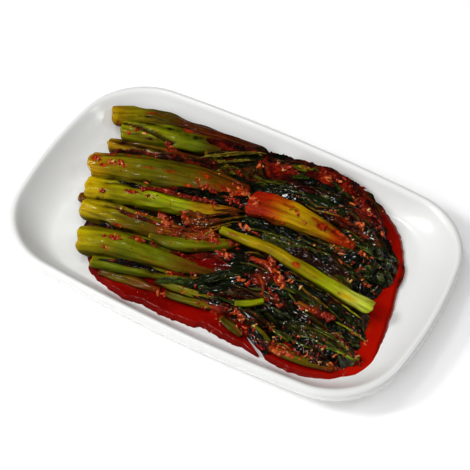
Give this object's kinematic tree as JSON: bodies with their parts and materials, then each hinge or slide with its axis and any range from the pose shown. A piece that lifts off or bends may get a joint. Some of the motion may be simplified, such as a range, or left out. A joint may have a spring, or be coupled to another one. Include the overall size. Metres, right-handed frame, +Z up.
{
  "type": "plate of mustard-leaf kimchi",
  "caption": "Bundle of cut mustard-leaf kimchi, pale green stalks running into dark wilted leaves, lying in red chili liquid on a white rounded-rectangular serving plate.",
  "frame": {"origin": "on the table under the middle of the plate, at the foot ring's plane", "axes": "+X along the plate towards the leafy end of the bundle, +Y across it to the far side, +Z up"},
  "size_m": [0.24, 0.1488, 0.0251],
  "materials": {
    "porcelain": "clear white glaze, high gloss",
    "stalk_green": "wet pickled green stalk with fine lengthwise fibres",
    "stalk_olive": "wet olive stalk with fibres and red-brown stains",
    "stalk_yellow": "wet yellow-green stalk with orange stains",
    "stalk_brown": "wet brown stalk soaked in chili liquid",
    "chili_red": "wet red chili flesh",
    "leaf_red": "wet leaf stained dark red",
    "leaf_dark": "wet wrinkled near-black green leaf with chili flakes and garlic bits",
    "sauce_red": "clear deep red liquid, mirror-smooth"
  },
  "bodies": {
    "root": {"plate": "porcelain", "stalk_crossing": "stalk_yellow", "midrib_red": "stalk_yellow", "chili_strip": "chili_red", "chili_strip_thin": "leaf_red", "strip_far_red": "chili_red", "stem_orange": "chili_red", "stem_cut_short": "stalk_yellow", "stem_far_thin": "stalk_olive", "petiole_curved": "stalk_olive", "stalk_stained": "stalk_olive", "stalk_far_channelled": "stalk_green", "stalk_far": "stalk_olive", "stalk_middle": "stalk_green", "stalk_low": "stalk_olive", "stalk_far_stub": "stalk_brown", "stalk_near": "stalk_green", "stalk_front": "stalk_green", "stalk_front_sunk": "stalk_brown", "stem_front_upper": "stalk_green", "stem_front_lower": "stalk_green", "stem_right_green": "stalk_green", "stem_right_front": "stalk_green", "stem_small": "stalk_yellow", "stem_brown": "stalk_brown", "leaf_scrap_left": "leaf_red", "leaf_heap": "leaf_dark", "sauce": "sauce_red"}
  },
  "joints": []
}
